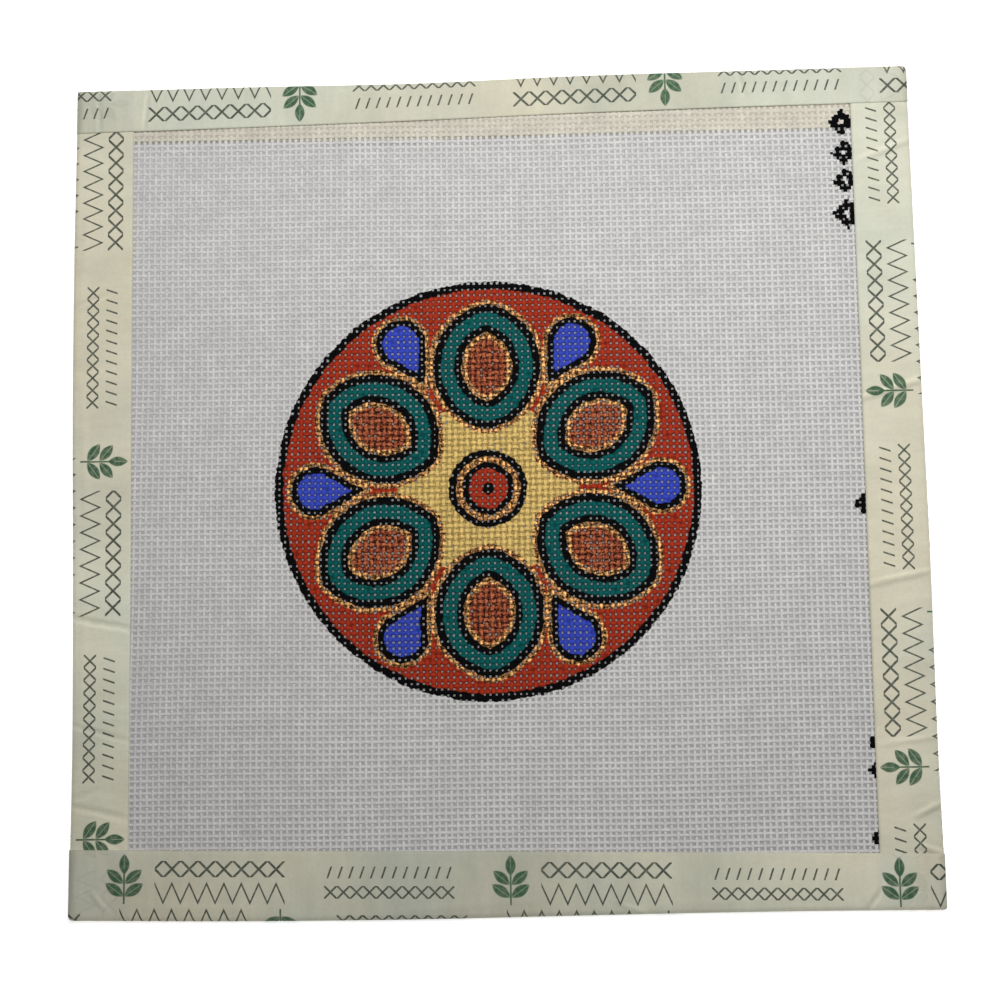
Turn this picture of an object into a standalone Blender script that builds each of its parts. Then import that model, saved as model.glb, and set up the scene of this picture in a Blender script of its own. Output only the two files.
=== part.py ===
# Needlepoint canvas panel: a square of mono canvas whose four cut edges are bound with paper tape.
# Metres, +Z up, +Y towards the top edge of the panel. The origin is under the middle of its back.
# Each strip of tape is folded over its edge, so its section is a U that holds the canvas between two legs.
# The side strips go on first. The top and bottom strips lap over their ends at the four corners, and
# there the two share one thickness, so that the panel lies flat on its back legs.

import math
from collections import namedtuple

import bmesh
import bpy

MM = 0.001

CANVAS_THICKNESS = 1.0 * MM
TAPE_THICKNESS = 1.0 * MM
TAPE_WIDTH = 25.4 * MM             # unfolded, one inch
GAP = 0.3 * MM                     # between neighbouring pieces
LAP_SKIN = (TAPE_THICKNESS - GAP) / 2       # each of two strips that share one thickness
LAP_RAMP = 0.3 * MM                # length over which a strip steps to its lap
FOLD_STEPS = 6                     # facets round a fold
STATION_STEP = 20.0 * MM           # between sections along a strip, and points along the canvas's edge

# Levels are heights away from the canvas's middle, to either side of it.
CANVAS_LEVEL = CANVAS_THICKNESS / 2
INNER_LEVEL = CANVAS_LEVEL + GAP
OUTER_LEVEL = INNER_LEVEL + TAPE_THICKNESS
COVERED_LEVEL = INNER_LEVEL + LAP_SKIN      # outer face of an end that another strip covers
COVERING_LEVEL = OUTER_LEVEL - LAP_SKIN     # inner face of an end that covers another strip

FOLD_INSET = OUTER_LEVEL           # from a strip's outer edge in to the centre line of its fold
COVERED_INSET = FOLD_INSET + GAP   # from the panel's outer edge in to the end of a covered strip
CANVAS_INSET = FOLD_INSET + 0.2 * MM        # from the panel's outer edge in to the canvas's edge

# A row for each measured section, in millimetres from the panel's middle: its place along the strip,
# the outer edge there, and the width of tape on the front. The rest of the width is on the back.
Row = namedtuple("Row", "along outer front")

LEFT_ROWS = (
    Row(along=-100.3, outer=-99.8, front=13.7),
    Row(along=-60.0, outer=-99.7, front=13.4),
    Row(along=-20.0, outer=-100.3, front=13.8),
    Row(along=20.0, outer=-101.1, front=14.2),
    Row(along=60.0, outer=-101.4, front=14.2),
    Row(along=99.4, outer=-101.2, front=13.7),
)
RIGHT_ROWS = (
    Row(along=-100.3, outer=101.3, front=14.8),
    Row(along=-60.0, outer=101.0, front=14.5),
    Row(along=-20.0, outer=101.2, front=14.6),
    Row(along=20.0, outer=101.0, front=14.3),
    Row(along=60.0, outer=100.8, front=14.1),
    Row(along=101.9, outer=100.6, front=13.9),
)
TOP_ROWS = (
    Row(along=-101.2, outer=99.4, front=10.9),
    Row(along=-60.0, outer=99.8, front=10.5),
    Row(along=-20.0, outer=99.9, front=9.7),
    Row(along=20.0, outer=101.0, front=9.7),
    Row(along=60.0, outer=101.5, front=9.4),
    Row(along=100.6, outer=101.9, front=9.3),
)
BOTTOM_ROWS = (
    Row(along=-99.8, outer=-100.2, front=16.0),
    Row(along=-60.0, outer=-100.8, front=15.9),
    Row(along=-20.0, outer=-100.9, front=15.4),
    Row(along=20.0, outer=-100.5, front=14.3),
    Row(along=60.0, outer=-100.2, front=13.3),
    Row(along=101.3, outer=-100.3, front=12.6),
)

CANVAS_COLOUR = (0.66, 0.65, 0.68, 1.0)
TAPE_COLOUR = (0.58, 0.58, 0.47, 1.0)


def clear_scene():
    for item in list(bpy.data.objects):
        bpy.data.objects.remove(item, do_unlink=True)


def make_material(name, colour, roughness):
    material = bpy.data.materials.new(name)
    material.use_nodes = True
    shader = material.node_tree.nodes["Principled BSDF"]
    shader.inputs["Base Color"].default_value = colour
    shader.inputs["Roughness"].default_value = roughness
    shader.inputs["Metallic"].default_value = 0.0
    return material


def make_object(name, mesh, material, parent):
    mesh.materials.append(material)
    item = bpy.data.objects.new(name, mesh)
    bpy.context.scene.collection.objects.link(item)
    item.parent = parent
    return item


def even_places(start, end, step):
    """Evenly spaced places from start to end, about a step apart."""
    count = max(round(abs(end - start) / step), 1)
    return [start + (end - start) * i / count for i in range(count + 1)]


def smooth_value(places, values, place):
    """Value at a place, on the smooth curve (Catmull-Rom) through the given values."""
    last = len(places) - 2
    span = next((i for i in range(last) if place < places[i + 1]), last)
    share = (place - places[span]) / (places[span + 1] - places[span])
    share = min(max(share, 0.0), 1.0)
    start = values[span]
    end = values[span + 1]
    leaving = (end - values[max(span - 1, 0)]) / 2
    arriving = (values[min(span + 2, last + 1)] - start) / 2
    square = 3 * (end - start) - 2 * leaving - arriving
    cube = leaving + arriving - 2 * (end - start)
    return start + share * (leaving + share * (square + share * cube))


class Edge:
    """One edge of the panel, with the strip of tape that binds it."""

    def __init__(self, name, rows, upright, covering):
        self.name = name
        self.places = [row.along * MM for row in rows]
        self.outers = [row.outer * MM for row in rows]
        self.fronts = [row.front * MM for row in rows]
        self.upright = upright                          # runs along Y, and else along X
        self.covering = covering                        # its ends lie over the strips that it crosses
        self.inward = -math.copysign(1, rows[0].outer)  # towards the panel's middle

    def front(self, along):
        return smooth_value(self.places, self.fronts, along)

    def back(self, along):
        return TAPE_WIDTH - self.front(along)

    def inset(self, along, distance):
        """Coordinate across the edge, a distance in from the outer edge."""
        return smooth_value(self.places, self.outers, along) + self.inward * distance

    def point(self, along, distance, level):
        across = self.inset(along, distance)
        return (across, along, level) if self.upright else (along, across, level)


LEFT = Edge("tape_left", LEFT_ROWS, upright=True, covering=False)
RIGHT = Edge("tape_right", RIGHT_ROWS, upright=True, covering=False)
TOP = Edge("tape_top", TOP_ROWS, upright=False, covering=True)
BOTTOM = Edge("tape_bottom", BOTTOM_ROWS, upright=False, covering=True)

# Each strip with the two that it crosses, at the low end of its run and at the high end.
CROSSINGS = ((LEFT, BOTTOM, TOP), (RIGHT, BOTTOM, TOP), (TOP, LEFT, RIGHT), (BOTTOM, LEFT, RIGHT))


def crossing_line(strip, end, crossed, distance_at):
    """Where a line along the crossed strip meets the given one, taken nearest the panel's middle."""
    width = max(strip.front(end), strip.back(end))
    reached = [strip.inset(end, distance) for distance in (0.0, width)]
    return min((crossed.inset(place, distance_at(place)) for place in reached), key=abs)


def strip_end(strip, end, crossed):
    """A covering strip ends flush with the panel's edge, and a covered one inside the crossed fold."""
    distance = 0.0 if strip.covering else COVERED_INSET
    return crossing_line(strip, end, crossed, lambda place: distance)


def lap_line(strip, end, crossed, leg_at):
    """Where a leg's lap begins: just inside the inner edge of the crossed strip's leg."""
    line = crossing_line(strip, end, crossed, leg_at)
    return line - math.copysign(GAP, line)


def lap_share(along, low_line, high_line):
    """1 on a lap and 0 between the laps, with a short ramp."""
    past = max(low_line - along, along - high_line)
    return min(max(1 + past / LAP_RAMP, 0.0), 1.0)


def fold_chain(front_width, back_width, front_level, back_level):
    """Distances and levels along one face of a section: front leg, round the fold, back leg."""
    chain = [(front_width, front_level)]
    for step in range(FOLD_STEPS + 1):
        angle = math.pi / 2 - math.pi * step / FOLD_STEPS
        radius = back_level + (front_level - back_level) * (1 + math.sin(angle)) / 2
        chain.append((FOLD_INSET - radius * math.cos(angle), radius * math.sin(angle)))
    chain.append((back_width, -back_level))
    return chain


def strip_section(strip, along, front_lap, back_lap):
    """Points of the outer face and of the inner face of a strip, at one place along it."""
    widths = (strip.front(along), strip.back(along))
    if strip.covering:
        lapped = COVERING_LEVEL - INNER_LEVEL
        outer = fold_chain(*widths, OUTER_LEVEL, OUTER_LEVEL)
        inner = fold_chain(*widths, INNER_LEVEL + front_lap * lapped, INNER_LEVEL + back_lap * lapped)
    else:
        lapped = OUTER_LEVEL - COVERED_LEVEL
        outer = fold_chain(*widths, OUTER_LEVEL - front_lap * lapped, OUTER_LEVEL - back_lap * lapped)
        inner = fold_chain(*widths, INNER_LEVEL, INNER_LEVEL)
    return [[strip.point(along, *spot) for spot in face] for face in (outer, inner)]


def loft(sections):
    """A closed mesh of a folded strip from the two faces of each section."""
    bm = bmesh.new()
    grid = [[[bm.verts.new(point) for point in face] for face in section] for section in sections]
    steps = range(len(grid[0][0]) - 1)
    for near, far in zip(grid, grid[1:]):
        for face in (0, 1):
            for i in steps:
                bm.faces.new((near[face][i], near[face][i + 1], far[face][i + 1], far[face][i]))
        for i in (0, -1):
            bm.faces.new((near[0][i], far[0][i], far[1][i], near[1][i]))
    for section in (grid[0], grid[-1]):
        for i in steps:
            bm.faces.new((section[0][i], section[0][i + 1], section[1][i + 1], section[1][i]))
    bmesh.ops.recalc_face_normals(bm, faces=bm.faces)
    return bm


def to_mesh(bm, name):
    mesh = bpy.data.meshes.new(name)
    bm.to_mesh(mesh)
    bm.free()
    mesh.shade_smooth()
    mesh.set_sharp_from_angle(angle=math.radians(35))
    return mesh


def make_strip(strip, low_crossed, high_crossed):
    low_place = strip.places[0]
    high_place = strip.places[-1]
    ends = (strip_end(strip, low_place, low_crossed), strip_end(strip, high_place, high_crossed))
    front_lines = (lap_line(strip, low_place, low_crossed, low_crossed.front),
                   lap_line(strip, high_place, high_crossed, high_crossed.front))
    back_lines = (lap_line(strip, low_place, low_crossed, low_crossed.back),
                  lap_line(strip, high_place, high_crossed, high_crossed.back))
    low_starts = (front_lines[0] + LAP_RAMP, back_lines[0] + LAP_RAMP)
    high_starts = (front_lines[1] - LAP_RAMP, back_lines[1] - LAP_RAMP)
    stations = set(even_places(max(low_starts), min(high_starts), STATION_STEP))
    stations.update(ends + front_lines + back_lines + low_starts + high_starts)
    sections = []
    for along in sorted(stations):
        front_lap = lap_share(along, *front_lines)
        back_lap = lap_share(along, *back_lines)
        sections.append(strip_section(strip, along, front_lap, back_lap))
    return to_mesh(loft(sections), strip.name)


def canvas_corner(upright_edge, level_edge):
    place_y = level_edge.outers[0 if upright_edge is LEFT else -1]
    place_x = upright_edge.outers[0 if level_edge is BOTTOM else -1]
    return (upright_edge.inset(place_y, CANVAS_INSET), level_edge.inset(place_x, CANVAS_INSET))


def canvas_outline():
    """Points round the canvas, which stops inside the four folds."""
    low_left = canvas_corner(LEFT, BOTTOM)
    low_right = canvas_corner(RIGHT, BOTTOM)
    high_right = canvas_corner(RIGHT, TOP)
    high_left = canvas_corner(LEFT, TOP)
    runs = (
        (BOTTOM, low_left[0], low_right[0]),
        (RIGHT, low_right[1], high_right[1]),
        (TOP, high_right[0], high_left[0]),
        (LEFT, high_left[1], low_left[1]),
    )
    corners = (low_left, low_right, high_right, high_left)
    outline = []
    for corner, (edge, start, end) in zip(corners, runs):
        outline.append((*corner, -CANVAS_LEVEL))
        for place in even_places(start, end, STATION_STEP)[1:-1]:
            outline.append(edge.point(place, CANVAS_INSET, -CANVAS_LEVEL))
    return outline


def make_canvas():
    bm = bmesh.new()
    bottom = bm.faces.new([bm.verts.new(point) for point in canvas_outline()])
    raised = bmesh.ops.extrude_face_region(bm, geom=[bottom], use_keep_orig=True)["geom"]
    top_points = [item for item in raised if isinstance(item, bmesh.types.BMVert)]
    bmesh.ops.translate(bm, verts=top_points, vec=(0.0, 0.0, CANVAS_THICKNESS))
    bmesh.ops.recalc_face_normals(bm, faces=bm.faces)
    return to_mesh(bm, "canvas")


def make_panel():
    """An empty at the canvas's middle height, with the canvas and the four strips as its children."""
    panel = bpy.data.objects.new("panel", None)
    bpy.context.scene.collection.objects.link(panel)
    middle_x = (min(LEFT.outers) + max(RIGHT.outers)) / 2
    middle_y = (min(BOTTOM.outers) + max(TOP.outers)) / 2
    panel.location = (-middle_x, -middle_y, OUTER_LEVEL)
    canvas_material = make_material("cotton_canvas", CANVAS_COLOUR, 0.8)
    tape_material = make_material("paper_tape", TAPE_COLOUR, 0.62)
    make_object("canvas", make_canvas(), canvas_material, panel)
    for strip, low_crossed, high_crossed in CROSSINGS:
        mesh = make_strip(strip, low_crossed, high_crossed)
        make_object(strip.name, mesh, tape_material, panel)


clear_scene()
make_panel()
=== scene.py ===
import bpy
import numpy as np
from mathutils import Matrix, Vector


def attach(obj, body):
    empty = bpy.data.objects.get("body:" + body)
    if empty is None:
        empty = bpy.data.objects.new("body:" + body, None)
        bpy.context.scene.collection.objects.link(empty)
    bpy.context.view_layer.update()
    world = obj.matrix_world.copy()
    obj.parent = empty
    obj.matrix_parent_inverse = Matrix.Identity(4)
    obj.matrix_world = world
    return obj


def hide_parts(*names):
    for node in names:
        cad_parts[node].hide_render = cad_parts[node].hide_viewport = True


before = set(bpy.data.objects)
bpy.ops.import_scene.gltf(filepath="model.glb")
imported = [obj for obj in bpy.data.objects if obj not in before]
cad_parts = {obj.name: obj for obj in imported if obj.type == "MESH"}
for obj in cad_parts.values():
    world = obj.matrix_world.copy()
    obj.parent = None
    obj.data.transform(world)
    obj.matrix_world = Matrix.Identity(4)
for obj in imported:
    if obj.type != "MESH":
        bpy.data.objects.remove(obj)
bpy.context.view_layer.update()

mm = 0.001  # lengths below are in millimetres, and meshes are made in metres
slanting = 0.7071  # distance from a 45 degree line for each step sideways
noiseRange = (0.3, 0.7)  # nearly all of a noise's values lie here
print("frame loaded, nodes:", sorted(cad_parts))


# sRGB 0-255 to linear: the usual curve, a short straight part and then a power of 2.4
def linearColour(colours):
    c = np.asarray(colours, float) / 255
    return np.where(c <= 0.04045, c / 12.92, ((c + 0.055) / 1.055) ** 2.4)


# 0 below low, 1 above high, and 3t^2 - 2t^3 between
def ease(low, high, x):
    t = np.clip((x - low) / (high - low), 0, 1)
    return t * t * (3 - 2 * t)


# curve through table rows: each span is a cubic whose slopes at the rows are those of the chord
# between the rows on both sides
def throughRows(x, rowAt, rowValue):
    rowAt, rowValue = np.asarray(rowAt, float), np.asarray(rowValue, float)
    slope = np.gradient(rowValue, rowAt)
    x = np.clip(x, rowAt[0], rowAt[-1])
    k = np.clip(np.searchsorted(rowAt, x) - 1, 0, len(rowAt) - 2)
    span = rowAt[k + 1] - rowAt[k]
    t = (x - rowAt[k]) / span
    return ((2 * t**3 - 3 * t**2 + 1) * rowValue[k] + (t**3 - 2 * t**2 + t) * span * slope[k]
            + (3 * t**2 - 2 * t**3) * rowValue[k + 1] + (t**3 - t**2) * span * slope[k + 1])


# Cotton scatters light, so a thread shades flatter than a smooth rod: each corner's normal leans towards
# straight up, or straight down on an underside, by softness and is made one long again.
def softenNormals(mesh, count, softness):
    normals = np.empty((count * 4, 3), np.float32)
    mesh.corner_normals.foreach_get("vector", normals.ravel())
    faceNormals = np.empty((count, 3), np.float32)
    mesh.polygon_normals.foreach_get("vector", faceNormals.ravel())
    normals[:, 2] += softness * np.repeat(np.where(faceNormals[:, 2] < 0, -1.0, 1.0), 4)
    mesh.normals_split_custom_set(normals / np.linalg.norm(normals, axis=1, keepdims=True))


# mesh from points (n, 3) in mm and four-cornered faces (m, 4), with maps given per face corner
# (m, 4, 2) and values given per face (m,) or (m, 3)
def meshPiece(name, points, faces, maps, faceValues, softness=0.0):
    mesh = bpy.data.meshes.new(name)
    mesh.vertices.add(len(points))
    mesh.vertices.foreach_set("co", (points * mm).astype(np.float32).ravel())
    mesh.loops.add(faces.size)
    mesh.loops.foreach_set("vertex_index", faces.astype(np.int32).ravel())
    mesh.polygons.add(len(faces))
    mesh.polygons.foreach_set("loop_start", np.arange(0, faces.size, 4, dtype=np.int32))
    mesh.update(calc_edges=True)
    mesh.shade_smooth()
    for mapName, corners in maps.items():
        layer = mesh.uv_layers.new(name=mapName)
        layer.uv.foreach_set("vector", corners.astype(np.float32).ravel())
    for valueName, values in faceValues.items():
        if values.ndim == 2:
            layer = mesh.attributes.new(valueName, "FLOAT_COLOR", "FACE")
            rgba = np.concatenate([values, np.ones((len(values), 1))], axis=1)
            layer.data.foreach_set("color", rgba.astype(np.float32).ravel())
        else:
            layer = mesh.attributes.new(valueName, "FLOAT", "FACE")
            layer.data.foreach_set("value", values.astype(np.float32).ravel())
    if softness:
        softenNormals(mesh, len(faces), softness)
    piece = bpy.data.objects.new(name, mesh)
    bpy.context.scene.collection.objects.link(piece)
    return piece


# a socket is fed by another's output, or else holds a plain value
def fillSocket(tree, socket, value):
    if isinstance(value, bpy.types.NodeSocket):
        tree.links.new(value, socket)
    else:
        socket.default_value = value


# node of the given kind, with its settings by name and its inputs by socket
def newNode(tree, kind, settings=(), inputs=()):
    node = tree.nodes.new(kind)
    for key, value in dict(settings).items():
        setattr(node, key, value)
    for key, value in dict(inputs).items():
        fillSocket(tree, node.inputs[key], value)
    return node


# empty material and its node tree
def newMaterial(name):
    material = bpy.data.materials.new(name)
    material.use_nodes = True
    material.node_tree.nodes.clear()
    return material, material.node_tree


# do("ADD", a, b) puts a Math node in the tree and gives its output
def arithmetic(tree):
    def do(operation, first, second=0.0, third=0.0, clamp=False):
        node = newNode(tree, "ShaderNodeMath", {"operation": operation, "use_clamp": clamp})
        for socket, value in zip(node.inputs, (first, second, third)):
            fillSocket(tree, socket, value)
        return node.outputs[0]
    return do


# first where factor is 0, second where it is 1, and a straight mix between
def mixColours(tree, factor, first, second):
    node = newNode(tree, "ShaderNodeMix", {"data_type": "RGBA"})
    for index, value in ((0, factor), (6, first), (7, second)):
        fillSocket(tree, node.inputs[index], value)
    return node.outputs[2]


# low..high becomes to by a straight line, held at its ends
def spread(tree, value, low, high, to=(0.0, 1.0)):
    return newNode(tree, "ShaderNodeMapRange", {}, {
        "Value": value, "From Min": low, "From Max": high, "To Min": to[0], "To Max": to[1]}).outputs[0]


# value or colour that the mesh carries under this name
def attribute(tree, name, output="Fac"):
    return newNode(tree, "ShaderNodeAttribute", {"attribute_name": name}).outputs[output]


# colour times amount
def scaledColour(tree, colour, amount):
    return newNode(tree, "ShaderNodeVectorMath", {"operation": "SCALE"},
                   {"Vector": colour, "Scale": amount}).outputs[0]


# place on the piece itself, in metres
def objectPlace(tree):
    return newNode(tree, "ShaderNodeTexCoord").outputs["Object"]


# place on one of the piece's own maps
def mapPlace(tree, name):
    return newNode(tree, "ShaderNodeUVMap", {"uv_map": name}).outputs[0]


# X, Y and Z of a place
def parted(tree, place):
    return newNode(tree, "ShaderNodeSeparateXYZ", {}, {"Vector": place}).outputs


# noise over the piece itself, scale counting its waves in a metre
def objectNoise(tree, scale, detail=3.0, roughness=0.55, output="Fac"):
    return newNode(tree, "ShaderNodeTexNoise", {}, {
        "Vector": objectPlace(tree), "Scale": scale, "Detail": detail,
        "Roughness": roughness}).outputs[output]


# one main shader, some of its inputs fed by nodes and the others set to plain values
def finishMaterial(tree, inputs, plain):
    shader = newNode(tree, "ShaderNodeBsdfPrincipled", {}, inputs)
    for key, value in plain.items():
        shader.inputs[key].default_value = value
    output = newNode(tree, "ShaderNodeOutputMaterial")
    tree.links.new(shader.outputs[0], output.inputs["Surface"])


cameraView = {
    "aim": (0.65, -4.3, 2.3),  # mm, what stands in the middle of the frame
    "away": (10.5, -100.2, 554.7),  # mm from the aim to the lens
    "right": (0.99969, -0.01294, -0.02135),
    "lens": 86.04,
    "sensor": 36.0,
    "nearest": 0.01,  # m from the lens at which it starts to see
}


# the camera looks from aim + away back to the aim; its up is across both the view and its right
def makeCamera(view):
    camera = bpy.data.objects.new("camera", bpy.data.cameras.new("camera"))
    back = Vector(view["away"]).normalized()
    right = Vector(view["right"])
    right = (right - back * right.dot(back)).normalized()
    turn = Matrix((right, back.cross(right), back)).transposed().to_4x4()
    place = (Vector(view["aim"]) + Vector(view["away"])) * mm
    camera.matrix_world = Matrix.Translation(place) @ turn
    camera.data.lens = view["lens"]
    camera.data.sensor_width = view["sensor"]
    camera.data.clip_start = view["nearest"]
    bpy.context.scene.collection.objects.link(camera)
    bpy.context.scene.camera = camera


makeCamera(cameraView)
print("camera placed")


# Rows along each side of the panel, in mm from its middle: along the side, its outer edge, and the
# width of tape on the front. ends: where the strip of tape stops. under: another strip covers its ends.
panelMiddle = (0.05, -0.5)  # in the frame
sides = {
    "left": {"lengthwise": "y", "ends": (-98.9, 98.2), "under": True, "rows": (
        (-100.3, -99.8, 13.7), (-60, -99.7, 13.4), (-20, -100.3, 13.8),
        (20, -101.1, 14.2), (60, -101.4, 14.2), (99.4, -101.2, 13.7))},
    "right": {"lengthwise": "y", "ends": (-98.9, 100.4), "under": True, "rows": (
        (-100.3, 101.3, 14.8), (-60, 101.0, 14.5), (-20, 101.2, 14.6),
        (20, 101.0, 14.3), (60, 100.8, 14.1), (101.9, 100.6, 13.9))},
    "top": {"lengthwise": "x", "ends": (-101.2, 100.6), "under": False, "rows": (
        (-101.2, 99.4, 10.9), (-60, 99.8, 10.5), (-20, 99.9, 9.7),
        (20, 101.0, 9.7), (60, 101.5, 9.4), (100.6, 101.9, 9.3))},
    "bottom": {"lengthwise": "x", "ends": (-99.8, 101.3), "under": False, "rows": (
        (-99.8, -100.2, 16.0), (-60, -100.8, 15.9), (-20, -100.9, 15.4),
        (20, -100.5, 14.3), (60, -100.2, 13.3), (101.3, -100.3, 12.6))},
}


# a side's outer edge as a curve through its rows
def sideEdge(side, along):
    at, edge = np.array(sides[side]["rows"]).T[:2]
    return throughRows(along, at, edge)


# the width of tape on the front as a curve through the same rows
def sideFront(side, along):
    at, front = np.array(sides[side]["rows"]).T[::2]
    return throughRows(along, at, front)


threadGrid = {
    "pitch": 1.4111,  # 18 threads an inch
    "warps": (-69, 69), "wefts": (-69, 68),  # numbers of the outermost threads, 0 through the middle
    "middleHeight": 1.8,
    "warpCrimp": 0.19, "weftCrimp": 0.17,  # how far a thread swings up and down from the middle
    "sway": 0.16,  # slow bend of the whole grid
    "unevenness": 0.035,  # of each thread's own place
    "selvageFrom": 85.3,  # mm up from the middle
    "selvageStep": 0.2,  # the selvage stands this much off the last white row
    "inset": 2.0,  # the cut edge of the cloth is this far inside the tape's fold
    "seed": 1807,
}


# crossing (i, j) is at (i, j) times the pitch, plus slow waves of the sheet, plus each thread's own
# small seeded offset
def crossingPlaces(grid, rng):
    warps = np.arange(grid["warps"][0], grid["warps"][1] + 1)
    wefts = np.arange(grid["wefts"][0], grid["wefts"][1] + 1)
    warpOff = rng.normal(0, grid["unevenness"], warps.size)
    weftOff = rng.normal(0, grid["unevenness"], wefts.size)
    x0, y0 = np.meshgrid(warps * grid["pitch"], wefts * grid["pitch"], indexing="ij")
    waveX = np.sin(y0 / 31 + 0.7) + 0.6 * np.sin(x0 / 19 - y0 / 27) + 0.5 * np.sin(y0 / 9.5 + x0 / 60)
    waveY = np.sin(x0 / 34 - 0.4) + 0.6 * np.sin(x0 / 23 + y0 / 21) + 0.5 * np.sin(x0 / 11 - y0 / 50)
    x = x0 + warpOff[:, None] + grid["sway"] * waveX
    y = y0 + weftOff[None, :] + grid["sway"] * waveY
    y = y + grid["selvageStep"] * ease(grid["selvageFrom"] - 1.0, grid["selvageFrom"] + 0.6, y0)
    return warps, wefts, x, y


# Paint names: sRGB colour, share of gold leaf, how much painted shade darkens it between the thread tops, and
# the share of holes it closes.
paints = {
    "black": ((4, 4, 6), 0.0, 0.1, 0.1),
    "red": ((172, 53, 30), 0.0, 0.58, 0.04),
    "teal": ((8, 92, 90), 0.0, 0.5, 0.03),
    "gold": ((188, 134, 86), 1.0, 0.97, 0.7),
    "brown": ((168, 80, 56), 0.3, 0.95, 0.9),
    "blue": ((58, 76, 190), 0.0, 0.45, 0.05),
    "yellow": ((234, 200, 121), 0.0, 0.66, 0.94),
}
medallion = {  # all sizes in threads
    "middle": (-1.5, -1.0),
    "radius": 35.3,
    "rim": (("black", 0.55), ("red", -0.85)),  # paint, and from what distance off the line inwards
    "heart": (("yellow", -20.0),),  # the ground between the petals, nearer the eye
    "petals": 6, "petalAt": 21.0, "petalLength": 11.0, "petalWidth": 9.2,
    "petal": (("gold", 0.75), ("black", 0.0), ("teal", -1.35), ("black", -3.6), ("gold", -4.85),
              ("brown", -5.65)),
    "dropAt": 29.0, "dropRadius": 3.1, "dropSlope": (0.86, 0.5),  # its straight sides' lean
    "drop": (("gold", 1.85), ("black", 1.15), ("blue", 0.0)),
    "eyeRadius": 6.2,
    "eye": (("black", 0.5), ("gold", -0.7), ("black", -1.7), ("red", -2.8), ("black", -5.1)),
    "brownClosed": (0.97, 0.1, 0.7, 0.95, 0.3, 0.8),  # petal by petal, of the share above
    "wobble": 0.55, "wobbleScale": 170.0,  # of the hand-drawn lines; scales are waves in a metre
    "bleed": 0.8, "bleedScale": 900.0,  # of the paint's edge along single threads
    "softEdge": 0.16,
}
marginMarks = {  # stepped lozenges in outline, partly hidden by the right tape: (warp, weft, reach)
    "places": ((59.9, 61.7, 1.5), (60.1, 56.4, 1.4), (60.1, 51.3, 1.5), (60.2, 45.5, 1.7),
               (61.9, -4.6, 1.7), (62.1, -44.5, 1.2), (62.2, -49.2, 1.3), (62.6, -60.0, 1.6)),
    "thick": 0.62,  # half the width of the outline, in threads
}
arrayMaths = {
    "ADD": lambda a, b, c: a + b,
    "SUBTRACT": lambda a, b, c: a - b,
    "MULTIPLY": lambda a, b, c: a * b,
    "MULTIPLY_ADD": lambda a, b, c: a * b + c,
    "MAXIMUM": lambda a, b, c: np.maximum(a, b),
    "LESS_THAN": lambda a, b, c: (a < b) * 1.0,
    "FLOORED_MODULO": lambda a, b, c: np.mod(a, b),
    "ARCTAN2": lambda a, b, c: np.arctan2(a, b),
    "ABSOLUTE": lambda a, b, c: np.abs(a),
    "SQRT": lambda a, b, c: np.sqrt(a),
    "SINE": lambda a, b, c: np.sin(a),
    "COSINE": lambda a, b, c: np.cos(a),
}


# the same call as for nodes, on whole arrays
def onArrays(operation, first, second=0.0, third=0.0):
    return arrayMaths[operation](first, second, third)


# A plain compass rosette. Petals are lenses, the overlap of two equal circles, pointing outwards, and
# their lines and fields are bands of the distance from the lens. Drops lie between the petal tips at
# the rim, each a half circle with a straight-sided point inwards. The eye is nested rings. Gives
# each layer's distance from its line at (u, v) threads from the middle, with its bands of paint.
def medallionLayers(do, u, v, design):
    def length(a, b):  # root of the sum of the squares
        return do("SQRT", do("MULTIPLY_ADD", a, a, do("MULTIPLY", b, b)))

    radius = length(u, v)
    angle = do("ARCTAN2", u, v)
    sector = 2 * np.pi / design["petals"]

    def acrossAndAlong(turn):  # the sector's own coordinates, across without its sign
        folded = do("FLOORED_MODULO", do("ADD", angle, sector / 2 - turn), sector)
        a = do("SUBTRACT", folded, sector / 2)
        sideways = do("ABSOLUTE", do("SINE", a))
        return do("MULTIPLY", radius, sideways), do("MULTIPLY", radius, do("COSINE", a))

    rim = do("SUBTRACT", radius, design["radius"])
    across, along = acrossAndAlong(sector / 2)
    inward = do("SUBTRACT", design["dropAt"], along)
    lean = design["dropSlope"]
    pointed = do("MAXIMUM", do("MULTIPLY_ADD", across, lean[0], do("MULTIPLY", inward, lean[1])), across)
    outer = do("LESS_THAN", inward, 0.0)
    drop = do("MULTIPLY_ADD", outer, do("SUBTRACT", length(across, inward), pointed), pointed)
    across, along = acrossAndAlong(0)
    arc = (design["petalLength"]**2 + design["petalWidth"]**2) / (2 * design["petalWidth"])
    lens = length(do("ADD", across, arc - design["petalWidth"]), do("SUBTRACT", along, design["petalAt"]))
    return ((rim, design["rim"]), (rim, design["heart"]),
            (do("SUBTRACT", drop, design["dropRadius"]), design["drop"]),
            (do("SUBTRACT", lens, arc), design["petal"]),
            (do("SUBTRACT", radius, design["eyeRadius"]), design["eye"]))


# distance in threads from the outline of the nearest mark, less half the outline's width
def offMarks(i, j, marks):
    warp, weft, reach = (row[:, None] for row in np.array(marks["places"]).T)
    steps = np.abs(i.ravel() - warp) + np.abs(j.ravel() - weft)
    return (np.abs(steps - reach) * slanting - marks["thick"]).min(0).reshape(i.shape)


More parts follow.
